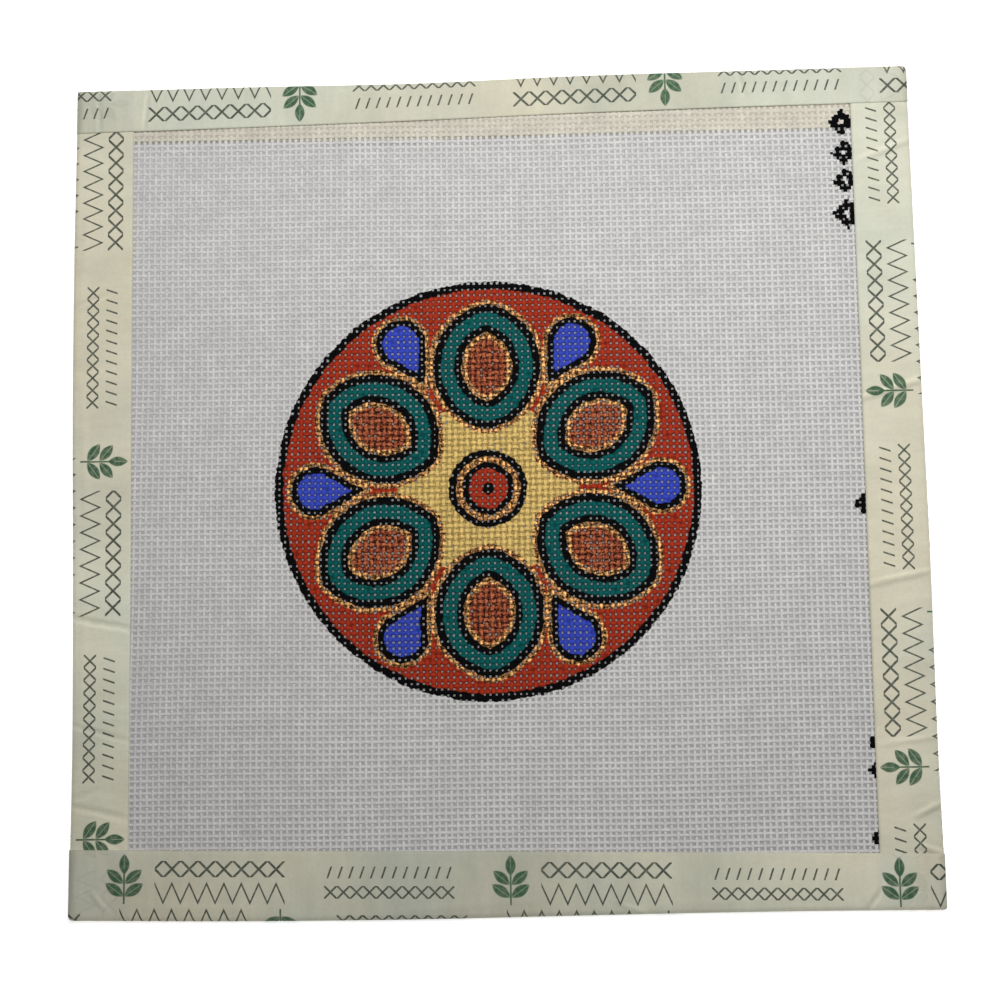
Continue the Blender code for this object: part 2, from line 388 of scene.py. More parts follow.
# the painting as arithmetic on the piece's own coordinates, so that paint ends anywhere along a thread
def makePaintingGroup(design, grid):
    tree = bpy.data.node_groups.new("painting", "ShaderNodeTree")
    for name, kind in (("Colour", "Color"), ("Inside", "Float"), ("Gilt", "Float"), ("RecessShade", "Float")):
        tree.interface.new_socket(name, in_out="OUTPUT", socket_type="NodeSocket" + kind)
    do = arithmetic(tree)
    place = parted(tree, objectPlace(tree))
    slow = newNode(tree, "ShaderNodeSeparateColor", {}, {
        "Color": objectNoise(tree, design["wobbleScale"], 2.0, 0.5, "Color")})
    fine = do("SUBTRACT", objectNoise(tree, design["bleedScale"], 1.0), 0.5)
    fine = do("MULTIPLY", fine, design["bleed"])

    def inThreads(axis, channel, middle):  # place over pitch, less the middle, plus the hand's wobble
        steps = do("MULTIPLY_ADD", place[axis], 1 / (mm * grid["pitch"]), -middle - design["wobble"] / 2)
        return do("MULTIPLY_ADD", slow.outputs[channel], design["wobble"], steps)

    u = inThreads("X", "Red", design["middle"][0])
    v = inThreads("Y", "Green", design["middle"][1])
    colour, kind = (1, 1, 1, 1), (0, 0, 0, 1)
    for distance, bands in medallionLayers(do, u, v, design):
        uneven = do("ADD", distance, fine)
        for name, limit in bands:
            paint, gilt, recessShade = paints[name][:3]
            mask = do("MULTIPLY", do("SUBTRACT", limit, uneven), 1 / design["softEdge"], clamp=True)
            colour = mixColours(tree, mask, colour, (*linearColour(paint), 1))
            # the gold share, and how much painted shade falls between the thread tops
            kind = mixColours(tree, mask, kind, (gilt, recessShade, 1, 1))
    kinds = newNode(tree, "ShaderNodeSeparateColor", {}, {"Color": kind})
    end = newNode(tree, "NodeGroupOutput")
    for name, socket in (("Colour", colour), ("Inside", kinds.outputs["Blue"]),
                         ("Gilt", kinds.outputs["Red"]), ("RecessShade", kinds.outputs["Green"])):
        tree.links.new(socket, end.inputs[name])
    return tree


# a hole is closed by chance, as often as the paint over it says
def closedHoles(u, v, design, rng):
    share = np.zeros(u.shape)
    sector = 2 * np.pi / design["petals"]
    petalNumber = np.rint(np.arctan2(u, v) / sector).astype(int) % design["petals"]
    brownShare = np.array(design["brownClosed"])[petalNumber]
    for distance, bands in medallionLayers(onArrays, u, v, design):
        for name, limit in bands:
            closes = paints[name][3] * (brownShare if name == "brown" else 1)
            share = np.where(distance < limit, closes, share)
    return rng.random(u.shape) < share


threads = {
    "bareWarp": 0.6, "bareWeft": 0.64, "painted": 0.96,  # widths
    "selvageWarp": 0.96, "selvageWeft": 1.0,
    "height": 0.34, "shoulder": 0.433,  # how far up its ring's upper corners stand
    "warpSoftness": 1.0, "weftSoftness": 0.7,  # how far their shading leans away from a smooth rod's
    "warpShown": (-62, 66), "weftShown": (-63, 63),  # crossings in view have two points each
    "bands": 3,  # pieces each way
    "thickness": 0.05, "wobble": 0.035,  # seeded variation from thread to thread and along it
    "stretchShade": 0.03, "threadShade": 0.012,  # seeded variation of the colour
    "seepAround": (1.0, 1.0, 1.0, 0.7, 0.4, 0.7),  # paint on each of the six faces round a thread
    "warpSlots": 1.0, "weftSlots": 0.94, "padSlots": (0.945, 1.0),  # heights in the bake map
    "padSize": 0.8, "padHeight": 0.07, "selvagePadLift": 0.06,
    "bare": (209, 207, 205), "cream": (207, 202, 188), "black": (8, 8, 10),
    # the selvage's pads, a darker cream as painted shade in its closed holes
    "shadedCreamPad": (182, 176, 162),
}


# Each thread runs straight from crossing to crossing, over at one and under at the next. Round every
# point of it stands a six-sided oval ring, half the width sideways by half the height upright. Gives
# points, faces, the two maps and, for each face, its thread, its stretch and its place round the ring.
def threadTubes(path, sideways, width, height, slots):
    count, stations = path.shape[:2]
    turn = np.arange(6) * np.pi / 3
    ring = (sideways * (np.cos(turn)[:, None] * 0.5) * width[:, :, None, None]
            + np.array([0, 0, 1.0]) * (np.sin(turn)[:, None] * 0.5) * height[:, :, None, None])
    points = (path[:, :, None, :] + ring).reshape(-1, 3)
    thread, stretch, face = np.meshgrid(
        np.arange(count), np.arange(stations - 1), np.arange(6), indexing="ij")
    nextFace = (face + 1) % 6
    start = (thread * stations + stretch) * 6
    faces = np.stack([start + face, start + 6 + face, start + 6 + nextFace, start + nextFace],
                     -1).reshape(-1, 4)
    along = np.concatenate([np.zeros((count, 1)), np.cumsum(
        np.linalg.norm(np.diff(path, axis=1), axis=2), axis=1)], axis=1)
    uLow, uHigh = along[thread, stretch], along[thread, stretch + 1]
    threadMap = np.stack([np.stack([uLow, uHigh, uHigh, uLow], -1),
                          np.stack([face, face, face + 1, face + 1], -1) / 6.0], -1).reshape(-1, 4, 2)
    # in the bake map each thread has a slot of its own with a small gap round it
    bakeMap, tall = threadMap.copy(), slots[1] - slots[0]
    bakeMap[..., 0] = 0.004 + 0.992 * threadMap[..., 0] / along.max()
    low = slots[0] + tall * (thread.reshape(-1, 1) + 0.06) / count
    bakeMap[..., 1] = low + threadMap[..., 1] * 0.88 * tall / count
    # two four-cornered faces close each end
    first = np.arange(count)[:, None] * stations * 6
    last = first + (stations - 1) * 6
    ends = np.concatenate([first + [0, 1, 2, 3], first + [3, 4, 5, 0],
                           last + [3, 2, 1, 0], last + [0, 5, 4, 3]]).reshape(-1, 4)
    endMap = np.zeros((len(ends), 4, 2))
    endMap[..., 0] = [0.0, 0.003, 0.003, 0.0]
    endMap[..., 1] = slots[0] + tall * np.array([0.0, 0.0, 0.01, 0.01])
    return {"points": points, "faces": np.concatenate([faces, ends]),
            "threadMap": np.concatenate([threadMap, endMap]), "OFBake": np.concatenate([bakeMap, endMap]),
            "owner": np.concatenate([thread.ravel(), np.tile(np.arange(count), 4)]),
            "at": np.concatenate([stretch.ravel(), np.repeat([0, stations - 2], 2 * count)]),
            "around": np.concatenate([face.ravel(), np.zeros(4 * count, int)])}


# stations along one set of threads, counted in crossings: every crossing, and in view also the middle
# of each hole, which is half a step on
def stationNumbers(crossings, shown):
    half = np.arange(shown[0] - 0.5, shown[1] + 1.0)
    return np.sort(np.concatenate([crossings.astype(float), half]))


# value of a crossing table at a station: the mean of the two crossings on both sides
def atStations(table, stations, first):
    low = np.floor(stations - first).astype(int)
    high = np.ceil(stations - first).astype(int)
    return (table[:, low] + table[:, high]) / 2


# blocks end to end, each one's faces moved on by the points before it
def joinBlocks(blocks):
    offset = np.cumsum([0] + [len(b["points"]) for b in blocks[:-1]])
    joined = {key: np.concatenate([b[key] for b in blocks]) for key in blocks[0] if key != "faces"}
    joined["faces"] = np.concatenate([b["faces"] + o for b, o in zip(blocks, offset)])
    return joined


# small flat pads of dried paint that close a hole, and in the selvage its closer weave: a square box, a
# little narrower at its top; kind counts through the thread tones, the selvage's pads taking a darker cream
# as painted shade in its holes
def paintPads(x, y, kind, slots):
    corner = np.array([[-1, -1, -1], [1, -1, -1], [1, 1, -1], [-1, 1, -1],
                       [-0.9, -0.9, 1], [0.9, -0.9, 1], [0.9, 0.9, 1], [-0.9, 0.9, 1]]) * 0.5
    corner = corner * [threads["padSize"], threads["padSize"], threads["padHeight"]]
    box = np.array([[3, 2, 1, 0], [4, 5, 6, 7], [0, 1, 5, 4], [1, 2, 6, 5], [2, 3, 7, 6], [3, 0, 4, 7]])
    middle = np.stack([x, y, threadGrid["middleHeight"] + threads["selvagePadLift"] * (kind > 0)], -1)
    points = (middle[:, None, :] + corner).reshape(-1, 3)
    faces = (np.arange(len(x))[:, None, None] * 8 + box).reshape(-1, 4)
    tone = np.repeat(linearColour([threads["bare"], threads["shadedCreamPad"], threads["black"]])[kind], 6, axis=0)
    wide = int(np.ceil(np.sqrt(len(x) * 12))) + 1
    cell = np.stack([np.arange(len(x)) % wide, np.arange(len(x)) // wide], -1)
    square = np.array([[0.2, 0.2], [0.8, 0.2], [0.8, 0.8], [0.2, 0.8]])
    small = (cell[:, None, None, :] + square) / [wide, cell[:, 1].max() + 1]
    small = np.broadcast_to(small, (len(x), 6, 4, 2)).reshape(-1, 4, 2).copy()
    small[..., 1] = slots[0] + (slots[1] - slots[0]) * small[..., 1]
    return {"points": points, "faces": faces, "threadMap": small * 0.0, "OFBake": small,
            "tone": tone, "seep": np.ones(len(faces))}


# Thread colour of each stretch: white, the selvage's cream with a small seeded change of shade, or black
# where a mark lies over its middle; and seep, which falls towards the underside, where paint has only
# soaked through.
def toneStretches(block, cream, marked, nearest, rng):
    owner, at = block.pop("owner"), block.pop("at")
    table = linearColour([threads["bare"], threads["cream"], threads["black"]])
    shade = rng.normal(1, threads["stretchShade"], (cream.shape[0], len(nearest)))[owner, at]
    shade = shade * rng.normal(1, threads["threadShade"], cream.shape[0])[owner]
    kind = np.where(marked[owner, at], 2, cream[owner, nearest[at]] * 1)
    block["tone"] = np.clip(table[kind] * shade[:, None], 0, 1)
    block["seep"] = np.array(threads["seepAround"])[block.pop("around")]
    return block


# Warps and wefts over the whole cloth, wider where painted and in the selvage, each with its ends inside
# the tape. Along a thread the height is the middle plus or minus its crimp, and so over one, under one.
def makeCanvas(material):
    rng = np.random.default_rng(threadGrid["seed"])
    warps, wefts, crossX, crossY = crossingPlaces(threadGrid, rng)
    i, j = np.meshgrid(warps, wefts, indexing="ij")
    u, v = i - medallion["middle"][0], j - medallion["middle"][1]
    painted = (np.hypot(u, v) < medallion["radius"] + 0.5) | (offMarks(i, j, marginMarks) < 0.1)
    selvage = crossY > threadGrid["selvageFrom"]
    closed = closedHoles(u[:-1, :-1] + 0.5, v[:-1, :-1] + 0.5, medallion, rng)
    closed |= (selvage & (np.abs(i) < threads["warpShown"][1]))[:-1, :-1]
    over = np.where((i + j) % 2 == 0, 1.0, -1.0)
    for direction in ("warp", "weft"):
        warp = direction == "warp"
        turned = (lambda t: t) if warp else (lambda t: t.T)
        own, crossing = (warps, wefts) if warp else (wefts, warps)
        crimp = threadGrid[direction + "Crimp"] * (1 if warp else -1)
        xs, ys, zs = turned(crossX), turned(crossY), turned(threadGrid["middleHeight"] + over * crimp)
        name = "Warp" if warp else "Weft"
        wide = np.where(painted, threads["painted"], threads["bare" + name])
        wide = turned(np.where(selvage, threads["selvage" + name], wide))
        cream = turned(selvage)
        thick = 1 + rng.normal(0, threads["thickness"], (own.size, 1))
        sideways = np.array([1.0, 0, 0]) if warp else np.array([0, -1.0, 0])
        lowSide, highSide = ("bottom", "top") if warp else ("left", "right")
        middle = panelMiddle[1 if warp else 0]
        offSide = own * threadGrid["pitch"] - panelMiddle[0 if warp else 1]
        lowEnd = sideEdge(lowSide, offSide) + threadGrid["inset"] + middle
        highEnd = sideEdge(highSide, offSide) - threadGrid["inset"] + middle
        shown, acrossShown = (threads[k + "Shown"] for k in (("warp", "weft") if warp else ("weft", "warp")))
        for band, picked in enumerate(np.array_split(np.arange(own.size), threads["bands"])):
            inView = (own[picked] >= acrossShown[0]) & (own[picked] <= acrossShown[1])
            top = threads[direction + "Slots"]
            slots = [0.0, top * inView.mean(), top]
            blocks = []
            for part, (chosen, stations) in enumerate((
                    (picked[inView], stationNumbers(crossing, shown)),
                    (picked[~inView], crossing.astype(float)))):
                if not chosen.size:
                    continue
                path = np.stack([atStations(t[chosen], stations, crossing[0]) for t in (xs, ys, zs)], -1)
                path[:, 0, 1 if warp else 0] = lowEnd[chosen]
                path[:, -1, 1 if warp else 0] = highEnd[chosen]
                wobble = 1 + rng.normal(0, threads["wobble"], path.shape[:2])
                across = atStations(wide[chosen], stations, crossing[0]) * thick[chosen] * wobble
                upright = threads["height"] * (0.5 + 0.5 * thick[chosen]) * np.ones(across.shape)
                block = threadTubes(path, sideways, across, upright, slots[part:part + 2])
                middles = (stations[:-1] + stations[1:]) / 2
                nearest = np.rint(middles + 1e-6).astype(int) - crossing[0]
                across, along = np.meshgrid(own[chosen] * 1.0, middles, indexing="ij")
                marked = offMarks(*((across, along) if warp else (along, across)), marginMarks) < 0
                blocks.append(toneStretches(block, cream[chosen], marked, nearest, rng))
            if not warp:
                here = closed[:, picked[picked < closed.shape[1]]]
                a, b = np.nonzero(here)
                b = b + picked[0]
                padX = (crossX[a, b] + crossX[a + 1, b]) / 2
                padY = (crossY[a, b] + crossY[a, b + 1]) / 2
                kind = np.where(offMarks(i[a, b] + 0.5, j[a, b] + 0.5, marginMarks) < 0, 2, selvage[a, b] * 1)
                blocks.append(paintPads(padX, padY, kind, threads["padSlots"]))
            data = joinBlocks(blocks)
            piece = meshPiece(f"canvas_{direction}_{band + 1}", data["points"], data["faces"],
                              {key: data[key] for key in ("OFBake", "threadMap")},
                              {key: data[key] for key in ("tone", "seep")}, threads[direction + "Softness"])
            piece.data.materials.append(material)
            declareCanvas(piece)
            print("canvas piece made:", piece.name, len(piece.data.polygons) * 2, "triangles")


# hang the piece on the root and hide the frame's canvas
def declareCanvas(piece):
    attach(piece, "root")
    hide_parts("canvas")


threadFinish = {
    "bareRoughness": 0.82, "paintRoughness": 0.62, "goldRoughness": 0.42, "goldMetal": 0.4,
    "plyPitch": 0.42,  # mm between turns of the ply
    "plyDepth": 0.012,  # mm
    # colour of the painted glint on gilt thread tops
    "glint": (230, 180, 108),
    "sheen": 0.03, "specular": 0.04,
    "tops": (0.02, 0.31),  # mm above the middle height, from the hollows to the tops
    "mottleScale": 260.0, "mottleTone": (0.92, 1.06),  # waves in a metre; how light it makes the colour
    "grainScale": 2200.0, "grainTone": (0.95, 1.04),
    "glintFrom": (0.5, 0.62), "glintShare": 0.75,  # of the grain, where the gilt tops get a painted glint
    "patchiness": (2.2, 0.6),  # of the tops' edge: for each share of painted recess shade, and at least
    "paintedPly": 0.3,  # of the ply's height that shows through paint
    "plyRelief": 0.5, "grainRelief": 0.6, "bumpStrength": 0.6,
    "roughMottle": 0.12,  # from the roughest to the smoothest
}


# stiffened cotton with dried paint on it: colour mottled by two noises, and painted shade darkening the paint
# between the thread tops as much as the paint says; the twist of the ply is a slanting wave along the thread,
# weaker under paint
def makeThreadMaterial(finish, paintingGroup):
    material, tree = newMaterial("paintedCanvasThread")
    do = arithmetic(tree)
    mottle = objectNoise(tree, finish["mottleScale"], 4.0)
    grain = objectNoise(tree, finish["grainScale"], 2.0)
    painting = newNode(tree, "ShaderNodeGroup", {"node_tree": paintingGroup})
    recessShade = painting.outputs["RecessShade"]
    height = parted(tree, objectPlace(tree))["Z"]
    # 0 deep between the threads, 1 on the tops, for the painted shade between them
    top = spread(tree, height, *((threadGrid["middleHeight"] + above) * mm for above in finish["tops"]))
    patchy = do("MULTIPLY", do("SUBTRACT", grain, 0.5), do("MULTIPLY_ADD", recessShade, *finish["patchiness"]))
    unevenTop = do("ADD", top, patchy, clamp=True)
    # painted shade: the paint is darker the deeper it lies between the thread tops, by its recess share
    depth = do("SUBTRACT", 1.0, unevenTop)
    lit = do("SUBTRACT", 1.0, do("MULTIPLY", depth, recessShade))
    painted = scaledColour(tree, painting.outputs["Colour"], lit)
    coat = do("MULTIPLY", painting.outputs["Inside"], attribute(tree, "seep"))
    colour = mixColours(tree, coat, attribute(tree, "tone", "Color"), painted)
    tones = do("MULTIPLY", spread(tree, mottle, *noiseRange, finish["mottleTone"]),
               spread(tree, grain, *noiseRange, finish["grainTone"]))
    colour = scaledColour(tree, colour, tones)
    gilt = do("MULTIPLY", do("MULTIPLY", painting.outputs["Gilt"], coat), unevenTop, clamp=True)
    # painted highlight: grains on the gilt thread tops take the lighter glint colour
    paintedGlint = spread(tree, grain, *finish["glintFrom"], (0.0, finish["glintShare"]))
    paintedGlint = do("MULTIPLY", gilt, paintedGlint, clamp=True)
    colour = mixColours(tree, paintedGlint, colour, (*linearColour(finish["glint"]), 1))
    place = parted(tree, mapPlace(tree, "threadMap"))
    slant = do("MULTIPLY_ADD", place["X"], 2 * np.pi / finish["plyPitch"],
               do("MULTIPLY", place["Y"], 4 * np.pi))
    ply = do("MULTIPLY", do("SINE", slant), do("MULTIPLY_ADD", coat, finish["paintedPly"] - 1.0, 1.0))
    relief = do("MULTIPLY_ADD", ply, finish["plyRelief"], do("MULTIPLY", grain, finish["grainRelief"]))
    bump = newNode(tree, "ShaderNodeBump", {}, {
        "Height": relief, "Strength": finish["bumpStrength"],
        "Distance": finish["plyDepth"] * mm}).outputs[0]
    bare, coated, gilded = (finish[key + "Roughness"] for key in ("bare", "paint", "gold"))
    rough = do("MULTIPLY_ADD", coat, coated - bare, bare)
    rough = do("MULTIPLY_ADD", gilt, gilded - coated, rough)
    uneven = finish["roughMottle"]
    rough = do("MULTIPLY_ADD", mottle, uneven, do("SUBTRACT", rough, uneven / 2), clamp=True)
    finishMaterial(tree, {"Base Color": colour, "Roughness": rough, "Normal": bump,
                          "Metallic": do("MULTIPLY", gilt, finish["goldMetal"], clamp=True)},
                   {"Sheen Weight": finish["sheen"], "Specular IOR Level": finish["specular"]})
    return material


makeCanvas(makeThreadMaterial(threadFinish, makePaintingGroup(medallion, threadGrid)))


tape = {
    "unfolded": 25.4,
    "thick": 0.2,
    "frontUnder": 2.2,  # the front leg lies on the thread tops
    "backOver": 1.38,  # the back leg is stuck up against the canvas
    "lap": 0.22,  # a covering strip stands this much off the strip below
    "climb": 0.8, "climbEnd": 0.15,  # mm over which it climbs onto the strip below, and how far off that ends
    "foldTakes": 1.0,  # mm of its width
    "rise": (1.6, 6.5),  # mm in from the edge, between which the back leg rises to the cloth
    "swell": 0.02, "swellWaves": ((7.3, 5.1), (13.7, 3.3)),  # mm for each radian, along and inwards
    "trimReach": 4.0,
    "stations": 104, "closeRows": (85.0, 89.5, 8),  # a covering strip has more rows where it climbs
    "frontPoints": 20, "foldPoints": 11, "backPoints": 12,
    "offPrint": -60.0,  # place on the print's map that has no print
}
# soft creases: (along, in from the edge) in mm, heading in degrees from the strip's
# length, half length, half width and height
creases = {
    "left": ((-80, 9.5, 35, 6, 0.7, 0.15), (-74, 6.0, 12, 9, 0.8, 0.14), (-40, 2.5, 2, 14, 0.7, 0.22),
             (10, 2.8, -2, 18, 0.7, 0.24), (55, 2.4, 3, 13, 0.7, 0.22), (-62, 11, 80, 3, 0.7, 0.2)),
    "right": ((83, 4.5, 25, 7, 0.7, 0.24), (78, 6.5, -20, 6, 0.7, 0.2), (40, 2.6, 2, 16, 0.7, 0.22),
              (-15, 2.8, -3, 15, 0.7, 0.24), (-64, 3.2, 3, 18, 0.7, 0.24), (60, 10, 70, 4, 0.7, 0.2)),
    "top": ((-30, 2.2, 2, 15, 0.7, 0.18), (25, 2.4, -2, 17, 0.7, 0.2), (70, 3.0, 4, 12, 0.7, 0.22)),
    "bottom": ((-70, 2.8, -2, 14, 0.7, 0.22), (-10, 2.6, 3, 16, 0.7, 0.22), (52, 2.4, 2, 15, 0.7, 0.22),
               (88, 6, 40, 6, 0.7, 0.26)),
}
cornerRounding = {("top", 1): 1.7, ("bottom", -1): 1.0, ("top", -1): 0.5, ("bottom", 1): 0.5}


# the two sides at right angles to this one
def neighbours(side):
    return ("left", "right") if side in ("top", "bottom") else ("top", "bottom")


# how far in from one side's outer edge points (x, y) are, and where they are along that side
def inFrom(side, x, y):
    along, off = (y, x) if sides[side]["lengthwise"] == "y" else (x, y)
    edge = sideEdge(side, along)
    return np.abs(edge) - np.sign(edge) * off, along


# 1 over the strips at right angles, falling to 0 within a short way off their inner edges
def lapMask(side, x, y, leg):
    mask = np.zeros(x.shape)
    for other in neighbours(side):
        inward, along = inFrom(other, x, y)
        width = sideFront(other, along)
        if leg == "back":
            width = tape["unfolded"] - width - tape["foldTakes"]
        mask = np.maximum(mask, ease(-tape["climb"] - tape["climbEnd"], -tape["climbEnd"], width - inward))
    return mask


# sum of ridges: each a bell curve across its heading, dying away along it, on a faint slow swell
def creaseHeight(side, t, inward):
    (longA, inA), (longB, inB) = tape["swellWaves"]
    total = tape["swell"] * (1 + np.sin(t / longA + inward / inA) * np.sin(t / longB - inward / inB))
    for along, inFromEdge, heading, halfLength, halfWidth, height in creases[side]:
        a, b = t - along, inward - inFromEdge
        c, s = np.cos(np.radians(heading)), np.sin(np.radians(heading))
        lengthwise, across = a * c + b * s, -a * s + b * c
        total = total + height * np.exp(-(across / halfWidth) ** 2) * np.exp(-(lengthwise / halfLength) ** 4)
    return total


# the end of a covering strip draws back towards the fold as a quarter circle
def cornerTrim(side, t, inward, ends):
    trim = np.zeros(np.broadcast(t, inward).shape)
    for way, end in ((-1, ends[0]), (1, ends[1])):
        r = cornerRounding.get((side, way), 0.0)
        if r:
            drawn = r - np.sqrt(np.clip(r * r - np.clip(r - inward, 0, r) ** 2, 0, None))
            trim = trim - way * drawn * ease(tape["trimReach"], 0.0, np.abs(t - end))
    return trim


# print coordinates of the strip below at each corner, which shows faintly through
def ghostCoordinates(x, y):
    ghost = np.zeros(x.shape + (2,))
    for side, reading in (("left", -1), ("right", 1)):
        inward, along = inFrom(side, x, y)
        here = x < 0 if side == "left" else x >= 0
        ghost[here] = np.stack([y * reading, sideFront(side, along) - inward], -1)[here]
    return ghost


# Strip folded over one edge. Its middle line goes from the front inner edge to the fold, round a half
# circle and back underneath, and on each side of that line stands half the tape's thickness. The
# front leg lies on the threads, climbs where a strip lies below, and has its soft creases as ridges.
# The back leg starts on the table at the fold and rises to the cloth within a few millimetres.
def makeTapeStrip(side, material):
    spec, half = sides[side], tape["thick"] / 2
    ends, sign = spec["ends"], np.sign(spec["rows"][0][1])
    even = np.linspace(ends[0], ends[1], tape["stations"])
    near, far, rows = tape["closeRows"]
    close = [] if spec["under"] else [np.linspace(-far, -near, rows), np.linspace(near, far, rows)]
    t = np.unique(np.round(np.concatenate([even, *close]), 3))[:, None]
    outer, frontWidth = sideEdge(side, t), sideFront(side, t)
    radius = tape["frontUnder"] / 2
    backWidth = tape["unfolded"] - frontWidth + (2 - np.pi) * radius
    turn = np.linspace(0, np.pi, tape["foldPoints"])[1:-1]
    frontIn = frontWidth + (radius - frontWidth) * np.linspace(0, 1, tape["frontPoints"])
    foldIn = np.repeat(radius * (1 - np.sin(turn))[None, :], len(t), 0)
    backIn = radius + (backWidth - radius) * np.linspace(0, 1, tape["backPoints"])
    inward = np.concatenate([frontIn, foldIn, backIn], axis=1)

    def inPanel(inwards):  # off is the outer edge less the way in; x and y by the strip's direction
        off = outer - sign * inwards
        along = np.broadcast_to(t, off.shape)
        return (off, along) if spec["lengthwise"] == "y" else (along, off)

    x, y = inPanel(inward)
    overFront, overBack = lapMask(side, x, y, "front"), lapMask(side, x, y, "back")
    nearest = np.minimum(inward, np.minimum(*(inFrom(other, x, y)[0] for other in neighbours(side))))
    rise = ease(*tape["rise"], nearest) * (tape["backOver"] - tape["thick"] - tape["lap"] * overBack)
    creased = creaseHeight(side, t, inward) * (1 - overFront if spec["under"] else 1)
    frontZ = tape["frontUnder"] + half + creased + (0 if spec["under"] else tape["lap"]) * overFront
    backZ = half + rise + (tape["lap"] if spec["under"] else 0) * overBack
    front, back = tape["frontPoints"], -tape["backPoints"]
    foldTop, foldFoot = frontZ[:, front - 1:front], backZ[:, back:][:, :1]
    foldZ = (foldTop + foldFoot) / 2 + (foldTop - foldFoot) / 2 * np.cos(turn)[None, :]
    z = np.concatenate([frontZ[:, :front], foldZ, backZ[:, back:]], axis=1)

    # normals across the strip, from the line's own direction
    dIn, dUp = np.gradient(inward, axis=1), np.gradient(z, axis=1)
    size = np.hypot(dIn, dUp)
    trim = cornerTrim(side, t, inward, ends)
    skins = []
    for way in (half, -half):
        px, py = inPanel(inward + way * dUp / size)
        px, py = (px + trim, py) if spec["lengthwise"] == "x" else (px, py + trim)
        skins.append(np.stack([px + panelMiddle[0], py + panelMiddle[1], z - way * dIn / size], -1))
    loop = np.concatenate([skins[0], skins[1][:, ::-1]], axis=1)
    travelled = np.concatenate([np.zeros((len(t), 1)), np.cumsum(
        np.hypot(np.diff(inward, axis=1), np.diff(z, axis=1)), axis=1)], axis=1)
    reading = {"bottom": 1, "right": 1, "top": -1, "left": -1}[side]
    along = np.broadcast_to(t * reading, travelled.shape)
    printUv = np.concatenate([np.stack([along, travelled], -1),
                              np.stack([along, travelled * 0 + tape["offPrint"]], -1)], axis=1)
    ghostUv, double = np.full(printUv.shape, tape["offPrint"]), np.zeros(loop.shape[:2])
    if not spec["under"]:
        ghostUv[:, :inward.shape[1]] = ghostCoordinates(x, y)
        double[:, :front] = overFront[:, :front]
    piece = stripMesh("tape_" + side + "_paper", loop, printUv, ghostUv, double, ends, t)
    piece.data.materials.append(material)
    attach(piece, "root")
    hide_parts("tape_" + side)
    return piece


# closed loop of points (stations, round, 3) to a closed strip, ends shut between its two skins; the
# bake map cuts the strip in four lengths laid side by side
def stripMesh(name, loop, printUv, ghostUv, double, ends, t):
    stations, around = loop.shape[:2]
    s, k = np.meshgrid(np.arange(stations - 1), np.arange(around), indexing="ij")
    k1 = (k + 1) % around
    faces = np.stack([s * around + k, (s + 1) * around + k, (s + 1) * around + k1, s * around + k1],
                     -1).reshape(-1, 4)
    e = np.arange(around // 2 - 1)
    cap = np.stack([e, e + 1, around - 2 - e, around - 1 - e], -1)
    faces = np.concatenate([faces, cap, (stations - 1) * around + cap[:, ::-1]])
    points = loop.reshape(-1, 3)
    a, b, c, d = (points[faces[:, n]] for n in range(4))
    volume = np.einsum("ij,ij->i", a, np.cross(b, c)).sum() + np.einsum("ij,ij->i", a, np.cross(c, d)).sum()
    if volume < 0:
        faces = faces[:, ::-1]
    station, spot = faces // around, faces % around
    # the seam between the skins: a face from the last spot back to the first
    wraps = (spot.max(1) == around - 1) & (spot.min(1) == 0)
    round01 = np.where(wraps[:, None] & (spot == 0), 1.0, spot / around)
    where = (t[:, 0] - ends[0]) / (ends[1] - ends[0])
    quarter = np.clip(np.floor(where[station].mean(1) * 4), 0, 3)[:, None]
    bake = np.stack([np.clip(where[station] * 4 - quarter, -0.02, 1.02) * 0.95 + 0.025,
                     (quarter + 0.02 + round01 * 0.94) / 4], -1)
    ownUv = printUv.reshape(-1, 2)[faces]
    ownUv[wraps] = tape["offPrint"]
    piece = meshPiece(name, points, faces,
                      {"OFBake": bake, "printMap": ownUv, "ghostMap": ghostUv.reshape(-1, 2)[faces]}, {})
    layer = piece.data.attributes.new("double", "FLOAT", "POINT")
    layer.data.foreach_set("value", double.astype(np.float32).ravel())
    return piece


tapePrint = {
    "repeat": 88.9,
    "lineWidth": 0.7,
    "soft": 0.16,  # mm over which the ink's edge fades
    "longBand": (6.0, 36.0), "shortBand": (45.0, 75.0),  # mm along from the sprig
    "turnShift": 17.0,  # mm by which the row that reads the other way is moved
    # each row's repeat, its middle out from the strip's edge, and half its height
    "crosses": (4.0, 4.2, 1.85), "zigzag": (4.0, 9.7, 2.2),
    "strokes": (2.5, 4.9, 1.35), "smallCrosses": (3.0, 9.4, 1.45),
    "thinner": 0.85, "strokeSlope": 0.35,
    "stem": (4.0, 12.2), "stemWidth": 0.8,  # from and to; of a line's width
    # a leaf's row, how far off the stem, heading in degrees, half length and half width
    "leaves": ((3.2, 0.0, 90, 2.5, 1.3), (6.0, 2.1, 40, 2.6, 1.3), (9.0, 2.2, 35, 2.7, 1.35)),
    "veinWidth": 0.12, "veinPale": 0.6,  # of a leaf's half width; how much of the ink it leaves out
    "leafSharpness": 5.0, "zigzagLean": 0.6,
}


